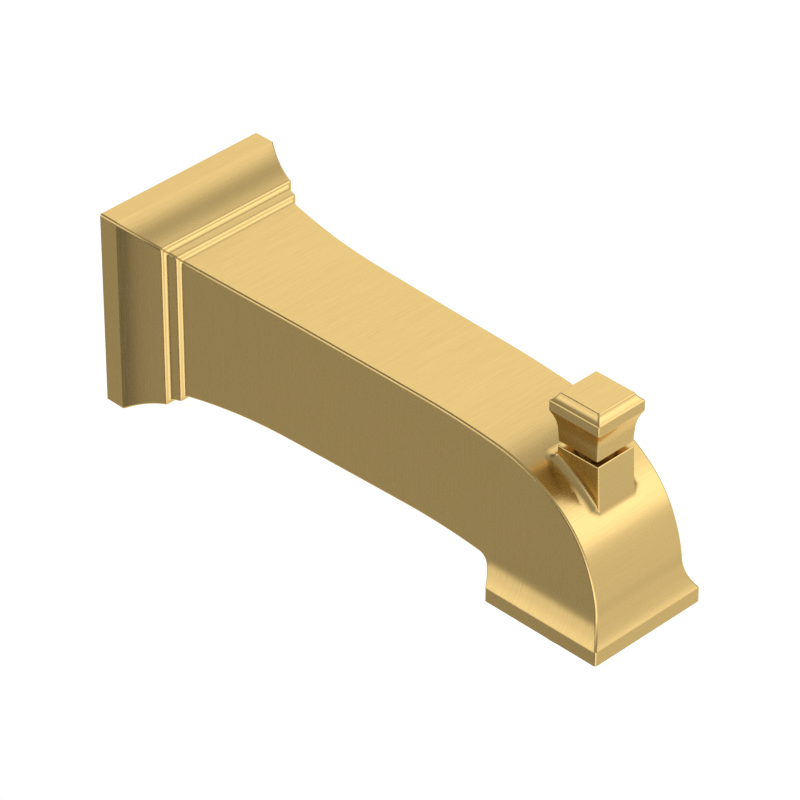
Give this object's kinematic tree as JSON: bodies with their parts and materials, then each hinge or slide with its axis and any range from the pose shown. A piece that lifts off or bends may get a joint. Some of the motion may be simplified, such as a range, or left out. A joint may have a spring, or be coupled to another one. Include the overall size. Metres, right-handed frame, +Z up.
{
  "type": "bath spout",
  "caption": "Wall-mounted bath spout with a square stepped flange, an arched square arm, a flared square foot over a round outlet, and a square lift knob that works a shower diverter.",
  "frame": {"origin": "on the axis of the supply pipe, in the plane of the wall, which is also the middle of the flange's back", "axes": "+Y into the wall along the supply pipe, so the spout reaches along -Y; +Z up, the way the knob lifts; +X to the right seen from behind the wall, across the plane of symmetry"},
  "size_m": [0.0636, 0.1908, 0.078],
  "materials": {
    "brushed_gold": "fine brushed satin gold over cast brass",
    "dark_brass": "turned brass, darker in the gap under the knob",
    "plain_brass": "machined brass, bare",
    "steel": "stainless steel, bare",
    "foam_rubber": "closed-cell foam, dark grey",
    "black_rubber": "moulded rubber, black",
    "moulded_plastic": "moulded acetal, off-white"
  },
  "bodies": {
    "spout": {"spout_body": "brushed_gold", "outlet_nozzle": "brushed_gold", "guide_bush": "dark_brass", "inlet_adapter": "plain_brass", "waterway_tube": "plain_brass", "adapter_screws": "steel", "clamp_screw": "steel", "wall_gasket": "foam_rubber", "inlet_oring_rear": "black_rubber", "inlet_oring_front": "black_rubber", "tube_oring_rear": "black_rubber", "tube_oring_front": "black_rubber", "rod_oring": "black_rubber", "port_seat": "black_rubber", "nozzle_gasket": "black_rubber", "diverter_housing": "moulded_plastic", "flow_guide": "moulded_plastic"},
    "diverter": {"diverter_knob": "brushed_gold", "knob_set_screw": "steel", "lift_rod": "steel", "diverter_gate": "moulded_plastic", "gate_pad": "black_rubber", "gate_pin": "steel"}
  },
  "joints": [
    {"name": "diverter_lift", "type": "slide", "parent": "spout", "child": "diverter", "axis": [0, 0, 1], "range_m": [0, 0.011]}
  ]
}
